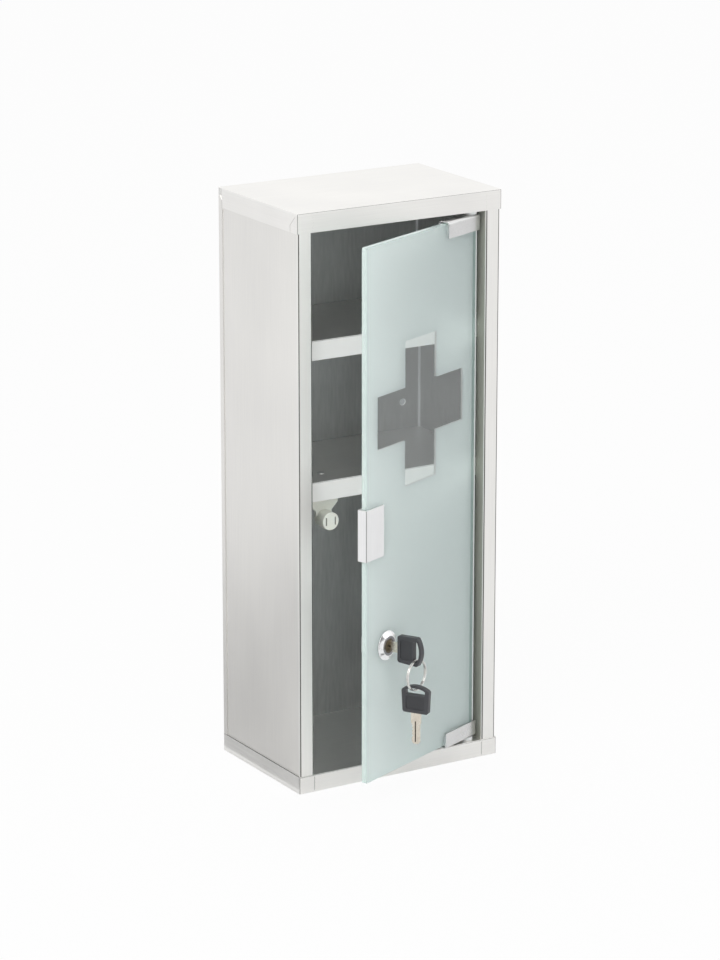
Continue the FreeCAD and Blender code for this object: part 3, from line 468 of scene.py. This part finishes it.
def makeDoorGlass(look):
    corners = [(look["left"], look["low"]), (look["right"], look["low"]), (look["right"], look["high"]),
               (look["left"], look["high"])]
    outline = roundLoop([(x, z, look["corner"]) for x, z in corners], steps=5)
    middle = Vector(((look["left"] + look["right"]) / 2, (look["low"] + look["high"]) / 2))
    half = Vector((look["right"], look["high"])) - middle
    inset = [middle + Vector(((p.x - middle.x) * (1 - look["bevel"] / half.x),
                              (p.y - middle.y) * (1 - look["bevel"] / half.y))) for p in outline]
    hole = circleLoop(look["lockX"], look["lockZ"], look["holeRadius"], look["holeCount"])
    a, b = look["armHalf"], look["armLong"]
    arms = [(-a, -b), (a, -b), (a, -a), (b, -a), (b, a), (a, a),
            (a, b), (-a, b), (-a, a), (-b, a), (-b, -a), (-a, -a)]
    cross = [Vector((look["crossX"] + x, look["crossZ"] + z)) for x, z in arms]
    front = look["thick"] / 2
    mesh = bmesh.new()
    rims, bores = [], []
    for side in (1, -1):
        face = addLoop(mesh, inset, side * front)
        rim = addLoop(mesh, outline, side * (front - look["bevel"]))
        bore = addLoop(mesh, hole, side * front)
        window = addLoop(mesh, cross, side * front)
        setFinish(joinLoops(mesh, face, rim), "greenEdge")
        setFinish(fillLoops(mesh, [window]), "clearGlass")
        setFinish(fillLoops(mesh, [face, bore, window]), "etchedGlass" if side > 0 else "etchedBack")
        rims.append(rim)
        bores.append(bore)
    setFinish(joinLoops(mesh, *rims) + joinLoops(mesh, *bores), "greenEdge")
    # Seen through the front, the hinge-side edge shows as a dark band with a bright line, both painted
    # reflections from inside the glass
    for name in ("darkEdgeReflection", "brightEdgeReflection"):
        start = look["right"] - look[name]
        parts = list(mesh.verts) + list(mesh.edges) + list(mesh.faces)
        bmesh.ops.bisect_plane(mesh, geom=parts, plane_co=(start, 0, 0), plane_no=(1, 0, 0))
        centres = [(face, face.calc_center_median()) for face in mesh.faces]
        setFinish([face for face, spot in centres if spot.z > front - look["bevel"] and spot.x > start], name)
    return mesh


glassFinishes = [makeFinish(name, look) for name, look in glassLooks.items()]
doorGlass = makePiece("etchedDoor", makeDoorGlass(glassDoor), doorPlace @ standUp, glassFinishes,
                      "door", glassDoor["sharpAngle"])
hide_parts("door_glass")
print("glass door made")

# Hinge clips, their pads and pins, and the handle

clipSteel = {"light": (0.80, 0.80, 0.80), "dark": (0.68, 0.68, 0.68), "metallic": 1.0, "rough": (0.26, 0.36),
             "grain": (30, 1400, 1400), "cloud": (50, 50, 50), "bump": (0.12, 0.02), "edge": 0.25}
handleMetal = {"light": (0.90, 0.90, 0.905), "dark": (0.83, 0.83, 0.835), "metallic": 0.55,
               "rough": (0.34, 0.42), "grain": (1200, 1200, 40), "cloud": (40, 40, 40), "bump": (0.1, 0.02),
               "edge": 0.3, "cornerLean": 0.05}
clearPad = {"light": (0.72, 0.75, 0.73), "dark": (0.66, 0.69, 0.67), "rough": (0.45, 0.6), "subsurface": 0.1,
            "grain": (400, 400, 400), "cloud": (80, 80, 80), "bump": (0.1, 0.03)}
platedSteel = {"light": (0.72, 0.72, 0.71), "dark": (0.58, 0.58, 0.57), "metallic": 1.0, "rough": (0.3, 0.42),
               "grain": (700, 700, 700), "cloud": (120, 120, 120), "bump": (0.12, 0.02), "edge": 0.2}
clipFinish = makeFinish("clipSteel", clipSteel)
padFinish = makeFinish("clearPad", clearPad)
plateFinish = makeFinish("platedSteel", platedSteel)
for name in ("upper_hinge_clip", "lower_hinge_clip"):
    dress(name, clipFinish, clipSteel["edge"])
for name in ("hinge_pads", "handle_pads"):
    dress(name, padFinish)
for name in ("upper_pivot_pin", "lower_pivot_pin", "hinge_set_screws", "lock_cam", "cam_screw"):
    dress(name, plateFinish, platedSteel["edge"])
dress("door_handle", makeFinish("handleMetal", handleMetal), handleMetal["edge"])
# The rounded corner between the handle's front and its web is painted darker, a painted dark reflection
cornerReflectMetal = dict(handleMetal, light=(0.30, 0.30, 0.30), dark=(0.24, 0.24, 0.24))
handleFront = doorPlace.to_3x3() @ Vector((0, -1, 0))
handleWeb = doorPlace.to_3x3() @ Vector((-1, 0, 0))


def isHandleCorner(face):
    return min(face.normal.dot(handleFront), face.normal.dot(handleWeb)) > handleMetal["cornerLean"]


paintFaces("door_handle", makeFinish("cornerReflectMetal", cornerReflectMetal), isHandleCorner)
print("clips and handle dressed")

# Cam lock: chromed rosette on a gasket, and a brass plug with the keyway

lockRosette = {"seat": 3.0, "rim": 12.8, "rimTall": 0.9, "lip": 11.9, "lipRise": 0.1, "coneTop": 8.6,
               "face": 6.0, "bore": 6.05, "boreEase": 0.25, "barrel": 9.0, "back": -15.0, "footEase": 0.2,
               "rimRound": ((0.0, -0.35), (-0.12, -0.12), (-0.4, 0.0)),
               "coneRound": ((0.45, -0.22), (0.15, -0.05), (-0.2, 0.0)),
               "count": 96, "shaded": (11, 12, 13), "sharpAngle": 25}
chrome = {"light": (0.96, 0.96, 0.965), "dark": (0.92, 0.92, 0.925), "metallic": 0.85, "rough": (0.12, 0.2),
          "grain": (300, 300, 300), "cloud": (90, 90, 90), "bump": (0.02, 0.01), "edge": 0.3}
plugBrass = {"light": (0.20, 0.17, 0.12), "dark": (0.05, 0.045, 0.035), "metallic": 1.0,
             "rough": (0.24, 0.36), "grain": (900, 900, 900), "cloud": (160, 160, 160), "bump": (0.12, 0.02),
             "edge": 0.25}
blackRubber = {"light": (0.05, 0.05, 0.052), "dark": (0.032, 0.032, 0.034), "rough": (0.55, 0.7),
               "grain": (900, 900, 900), "cloud": (120, 120, 120), "bump": (0.15, 0.02)}


def makeRosette(look):
    seat, rim, face, bore = look["seat"], look["rim"], look["face"], look["bore"]
    rimTop = seat + look["rimTall"]
    profile = [(bore, look["back"]), (look["barrel"], look["back"]), (look["barrel"], seat),
               (rim - look["footEase"], seat), (rim, seat + look["footEase"])]
    profile += [(rim + out, rimTop + up) for out, up in look["rimRound"]]
    profile.append((look["lip"], rimTop + look["lipRise"]))
    profile += [(look["coneTop"] + out, face + up) for out, up in look["coneRound"]]
    profile += [(bore + look["boreEase"], face), (bore, face - look["boreEase"]), (bore, look["back"])]
    return lathe(profile, look["count"], look["shaded"])


# The mouth of the bore is shaded, since it mirrors the dark plug
chromeFinish = makeFinish("lockChrome", chrome)
chromeShade = dict(chrome, light=(0.30, 0.30, 0.31), dark=(0.18, 0.18, 0.19))
rosette = makePiece("lockRosette", makeRosette(lockRosette), lockPlace,
                    [chromeFinish, makeFinish("chromeShade", chromeShade)],
                    "door", lockRosette["sharpAngle"])
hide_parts("lock_body")
dress("lock_nut", chromeFinish, chrome["edge"])
dress("lock_gaskets", makeFinish("blackRubber", blackRubber))
dress("lock_plug", makeFinish("plugBrass", plugBrass), plugBrass["edge"])
print("lock made")

# Keys: a moulded bow with a slot and a sunk panel, and a milled blade

keySet = {"bowStart": 15.45, "slotMiddle": 17.806, "slotFar": 21.8, "ringDrop": 20.2, "spareDrop": 11.2,
          "spareTurn": 10, "bowThick": 4.6, "panelDeep": 0.5, "bladeThick": 2.0, "grooveDeep": 0.6,
          "bowEdge": {"width": 0.6, "segments": 4, "angle": 50},
          "bladeEdge": {"width": 0.15, "segments": 2, "angle": 40}, "sharpAngle": 30}
bowShape = {"waist": 11.6, "half": 12.6, "long": 24.0, "endRadius": 21.0, "corner": 2.2,
            "slotHalf": 8.8, "slotLow": 16.0, "slotHigh": 21.8, "slotRadius": 18.8, "slotCorner": 1.0,
            "panelHalf": 8.6, "panelLow": 3.0, "panelHigh": 14.5, "panelCorner": 2.0}
bladeShape = {"neckHalf": 4.3, "half": 3.5, "shoulder": -9.3, "shoulderDrop": 0.6, "tip": -27.3,
              "tipCut": 1.6, "tipHalf": 2.2, "tang": 4.0, "notchHalf": 0.95, "notchLead": 0.5,
              "notches": ((-12.0, 0.7), (-14.9, 1.1), (-17.7, 0.5), (-20.4, 0.9)),
              "groove": ((-0.3, 0.75), (-25.6, -7.6))}
blackPlastic = {"light": (0.050, 0.051, 0.057), "dark": (0.038, 0.039, 0.044), "rough": (0.34, 0.44),
                "specular": 0.5, "grain": (1500, 1500, 1500), "cloud": (120, 120, 120), "bump": (0.22, 0.03)}
keyNickel = {"light": (0.82, 0.77, 0.68), "dark": (0.64, 0.58, 0.49), "metallic": 1.0, "rough": (0.2, 0.32),
             "grain": (1400, 1400, 120), "cloud": (150, 150, 150), "bump": (0.12, 0.02)}


def makeBow(look):
    outline = archLoop(look["waist"], look["half"], 0.0, look["long"], look["endRadius"], look["corner"])
    slot = archLoop(look["slotHalf"], look["slotHalf"], look["slotLow"], look["slotHigh"], look["slotRadius"],
                    look["slotCorner"])
    panel = roundLoop([(x, z, look["panelCorner"]) for x, z in (
        (-look["panelHalf"], look["panelLow"]), (look["panelHalf"], look["panelLow"]),
        (look["panelHalf"], look["panelHigh"]), (-look["panelHalf"], look["panelHigh"]))], steps=5)
    return slab(outline, keySet["bowThick"], [slot], [panel], keySet["panelDeep"], floorFinish=2)


def makeBlade(look):
    neck, half, tip, tang = look["neckHalf"], look["half"], look["tip"], look["tang"]
    shoulder, stepEnd = look["shoulder"], look["shoulder"] - look["shoulderDrop"]
    tipStart = tip + look["tipCut"]
    points = [(-neck, tang), (-neck, shoulder), (-half, stepEnd), (-half, tipStart), (-look["tipHalf"], tip),
              (look["tipHalf"], tip), (half, tipStart)]
    for middle, deep in reversed(look["notches"]):
        wide, reach = look["notchHalf"], look["notchHalf"] + look["notchLead"]
        points += [(half, middle - reach), (half - deep, middle - wide / 2),
                   (half - deep, middle + wide / 2), (half, middle + reach)]
    points += [(half, stepEnd), (neck, shoulder), (neck, tang)]
    outline = [Vector(point) for point in points]
    (left, right), (low, high) = look["groove"]
    groove = [Vector(point) for point in ((left, low), (right, low), (right, high), (left, high))]
    return slab(outline, keySet["bladeThick"], [], [groove], keySet["grooveDeep"], floorFinish=1)


# A key is drawn flat, then stood on its edge: bow away from the door, panel to the side
keyStand = Matrix(((0, 0, 1, 0), (1, 0, 0, 0), (0, 1, 0, 0), (0, 0, 0, 1)))
keyPlace = lockPlace @ shift(0, 0, keySet["bowStart"])
ringPlace = keyPlace @ shift(0, -keySet["ringDrop"], keySet["slotMiddle"])
hangDown = Matrix.Rotation(math.radians(-90), 4, "X")
spareTurn = Matrix.Rotation(math.radians(keySet["spareTurn"]), 4, "Z")
sparePlace = (ringPlace @ shift(0, -keySet["spareDrop"], 0) @ hangDown @ spareTurn
              @ shift(0, 0, -keySet["slotFar"]))
# Recesses are painted darker with painted shade: the panel's walls most of all, then its floor, and the groove
# of the blade
recessShadePlastic = dict(blackPlastic, light=(0.012, 0.012, 0.013), dark=(0.008, 0.008, 0.009))
recessShadeNickel = dict(keyNickel, light=(0.14, 0.12, 0.09), dark=(0.09, 0.075, 0.055))
panelShadePlastic = dict(blackPlastic, light=(0.037, 0.038, 0.043), dark=(0.028, 0.029, 0.033))
bowFinishes = [makeFinish("keyPlastic", blackPlastic), makeFinish("recessShadePlastic", recessShadePlastic),
               makeFinish("panelShadePlastic", panelShadePlastic)]
bladeFinishes = [makeFinish("keyNickel", keyNickel), makeFinish("recessShadeNickel", recessShadeNickel)]
for name, place in (("key", keyPlace), ("spare_key", sparePlace)):
    bow = makePiece(name + "_grip", makeBow(bowShape), place @ keyStand, bowFinishes,
                    name, keySet["sharpAngle"])
    softenEdges(bow, **keySet["bowEdge"])
    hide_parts(name + "_bow")
    blade = makePiece(name + "_shank", makeBlade(bladeShape), place @ keyStand, bladeFinishes,
                      name, keySet["sharpAngle"])
    softenEdges(blade, **keySet["bladeEdge"])
    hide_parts(name + "_blade")
print("keys made")

# Split ring: two turns of flattened wire that cross over once

splitRing = {"outer": 13.5, "wire": 1.3, "wireRound": 0.35, "wide": 2.4, "gap": 0.1,
             "start": 200, "sweep": 719.9, "cross": 50, "steps": 192, "sharpAngle": 50}
ringSteel = {"light": (0.80, 0.79, 0.77), "dark": (0.70, 0.69, 0.67), "metallic": 1.0, "rough": (0.14, 0.24),
             "grain": (500, 500, 500), "cloud": (200, 200, 200), "bump": (0.05, 0.01)}


def makeSplitRing(look):
    coil = (look["wide"] - look["gap"]) / 2
    halfWire, halfCoil = look["wire"] / 2, coil / 2
    corners = [(-halfWire, -halfCoil), (halfWire, -halfCoil), (halfWire, halfCoil), (-halfWire, halfCoil)]
    section = roundLoop([(x, y, look["wireRound"]) for x, y in corners], steps=3)
    middle = look["outer"] - halfWire
    lift = (coil + look["gap"]) / 2
    mesh = bmesh.new()
    rings = []
    for step in range(look["steps"] + 1):
        turned = look["sweep"] * step / look["steps"]
        # The wire climbs smoothly from the first turn to the second, halfway along
        share = min(max((turned - 360 + look["cross"] / 2) / look["cross"], 0), 1)
        height = lift * (2 * share * share * (3 - 2 * share) - 1)
        angle = math.radians(look["start"] + turned)
        ring = []
        for point in section:
            radius = middle + point.x
            ring.append(mesh.verts.new((radius * math.cos(angle), radius * math.sin(angle), height + point.y)))
        rings.append(ring)
    for one, two in zip(rings, rings[1:]):
        joinLoops(mesh, one, two)
    for end in (rings[0], rings[-1]):
        mesh.faces.new(end)
    return mesh


ring = makePiece("splitRing", makeSplitRing(splitRing), ringPlace, [makeFinish("ringSteel", ringSteel)],
                 "key_ring", splitRing["sharpAngle"])
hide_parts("key_ring")
print("split ring made")

# Studio: pale floor, soft lights, a grey card of painted shade seen only in reflections and glowing patches of
# painted light seen only through glass

studio = {"floorSize": 30.0, "floorDrop": 0.0005, "floorColor": (0.90, 0.90, 0.90), "floorRough": 0.8,
          "floorSpecular": 0.1, "floorWhite": 0.93, "floorMirror": 0.25, "worldFill": 0.70,
          "keyLight": {"place": (-2.3, -1.5, 2.0), "size": 1.8, "watts": 36, "mirrored": True},
          "sideLight": {"place": (2.4, -1.6, 1.2), "size": 1.6, "watts": 6, "mirrored": True},
          "frontLight": {"place": (-0.5, -3.2, 0.3), "size": 1.8, "watts": 9, "mirrored": False},
          "sideShadeCard": {"left": -0.54, "right": -0.10, "front": -0.16, "back": 0.42, "lift": 0.003},
          "holeLightPatch": {"across": 0.08, "half": 0.006, "behind": 0.002, "glow": (0.20, 0.21, 0.215)}}
shadeCardLook = {"light": (0.56, 0.56, 0.56), "dark": (0.56, 0.56, 0.56), "rough": (0.55, 0.7),
             "grain": (30, 30, 30), "cloud": (6, 6, 6), "bump": (0.15, 0.02)}
photoCamera = {"place": (-1.6288, -2.7438, 0.8491), "target": (-0.00039, -0.06601, -0.04375), "lens": 143.10,
               "sensor": 36.0}


def addStage(name, corners, material, hiddenFrom=()):
    # Every four corners are one flat rectangle
    data = bpy.data.meshes.new(name)
    faces = [list(range(start, start + 4)) for start in range(0, len(corners), 4)]
    data.from_pydata(corners, [], faces)
    data.materials.append(material)
    stage = bpy.data.objects.new(name, data)
    for rays in hiddenFrom:
        setattr(stage, "visible_" + rays, False)
    bpy.context.scene.collection.objects.link(stage)
    return stage


def makePlainMaterial(name):
    material = bpy.data.materials.new(name)
    material.use_nodes = True
    return material, material.node_tree, material.node_tree.nodes["Material Output"].inputs["Surface"]


def whiteForViewers(tree, mirrorShare):
    # White to the camera, and as white as the share given in mirrors and through glass
    path = tree.nodes.new("ShaderNodeLightPath").outputs
    mirrored = addMath(tree, "MAXIMUM", path["Is Glossy Ray"], path["Is Transmission Ray"])
    return addMath(tree, "MAXIMUM", path["Is Camera Ray"], addMath(tree, "MULTIPLY", mirrored, mirrorShare))


def makeFloor(look):
    material, tree, surface = makePlainMaterial("paleFloor")
    shader = tree.nodes["Principled BSDF"]
    shader.inputs["Base Color"].default_value = look["floorColor"] + (1.0,)
    shader.inputs["Roughness"].default_value = look["floorRough"]
    shader.inputs["Specular IOR Level"].default_value = look["floorSpecular"]
    glow = addNode(tree, "ShaderNodeEmission", Color=(1.0, 1.0, 1.0, 1.0), Strength=1.0)
    share = addMath(tree, "MULTIPLY", whiteForViewers(tree, look["floorMirror"]), look["floorWhite"])
    mix = tree.nodes.new("ShaderNodeMixShader")
    tree.links.new(share, mix.inputs["Fac"])
    tree.links.new(shader.outputs["BSDF"], mix.inputs[1])
    tree.links.new(glow.outputs["Emission"], mix.inputs[2])
    tree.links.new(mix.outputs["Shader"], surface)
    half = look["floorSize"] / 2
    level = cadBox[0].z - look["floorDrop"]
    corners = [(-half, -half, level), (half, -half, level), (half, half, level), (-half, half, level)]
    floor = addStage("studioFloor", corners, material)


def makeWorld(look):
    world = bpy.data.worlds.new("studio")
    world.use_nodes = True
    tree = world.node_tree
    background = tree.nodes["Background"]
    background.inputs["Color"].default_value = (1.0, 1.0, 1.0, 1.0)
    strength = addRange(tree, whiteForViewers(tree, 1.0), (0.0, 1.0), (look["worldFill"], 1.0))
    tree.links.new(strength, background.inputs["Strength"])
    bpy.context.scene.world = world


def makeLight(name, look, target):
    data = bpy.data.lights.new(name, "AREA")
    data.size = look["size"]
    data.energy = look["watts"]
    light = bpy.data.objects.new(name, data)
    light.location = look["place"]
    light.visible_glossy = look["mirrored"]
    light.rotation_euler = (target - light.location).to_track_quat("-Z", "Y").to_euler()
    bpy.context.scene.collection.objects.link(light)


def makeShadeCard(name, look):
    # A grey card of painted shade: it lies beside the case, where only the polished side panel sees it, and
    # darkens the lower side as a shaded floor would
    level = cadBox[0].z + look["lift"]
    corners = [(look["left"], look["front"], level), (look["right"], look["front"], level),
               (look["right"], look["back"], level), (look["left"], look["back"], level)]
    card = addStage(name, corners, makeFinish(name, shadeCardLook),
                    ("camera", "diffuse", "transmission", "volume_scatter", "shadow"))


def makeHoleLightPatch(name, look):
    # Glowing patches of painted light stand for what the wall behind shows through the screw holes, seen
    # through clear glass only
    material, tree, surface = makePlainMaterial(name)
    glow = addNode(tree, "ShaderNodeEmission", Color=look["glow"] + (1.0,), Strength=1.0)
    tree.links.new(glow.outputs["Emission"], surface)
    half, behind = look["half"], look["behind"]
    corners = []
    for x in (-look["across"], look["across"]):
        corners += [(x - half, behind, -half), (x + half, behind, -half),
                    (x + half, behind, half), (x - half, behind, half)]
    view = addStage(name, corners, material, ("camera", "diffuse", "glossy", "volume_scatter", "shadow"))


target = Vector(photoCamera["target"])
makeFloor(studio)
makeWorld(studio)
for name in ("keyLight", "sideLight", "frontLight"):
    makeLight(name, studio[name], target)
makeShadeCard("sideShadeCard", studio["sideShadeCard"])
makeHoleLightPatch("holeLightPatch", studio["holeLightPatch"])
cameraData = bpy.data.cameras.new("photoCamera")
cameraData.lens = photoCamera["lens"]
cameraData.sensor_width = photoCamera["sensor"]
camera = bpy.data.objects.new("photoCamera", cameraData)
camera.location = photoCamera["place"]
camera.rotation_euler = (target - camera.location).to_track_quat("-Z", "Y").to_euler()
bpy.context.scene.collection.objects.link(camera)
bpy.context.scene.camera = camera
bpy.context.scene.view_settings.view_transform = "Standard"
print("studio set")
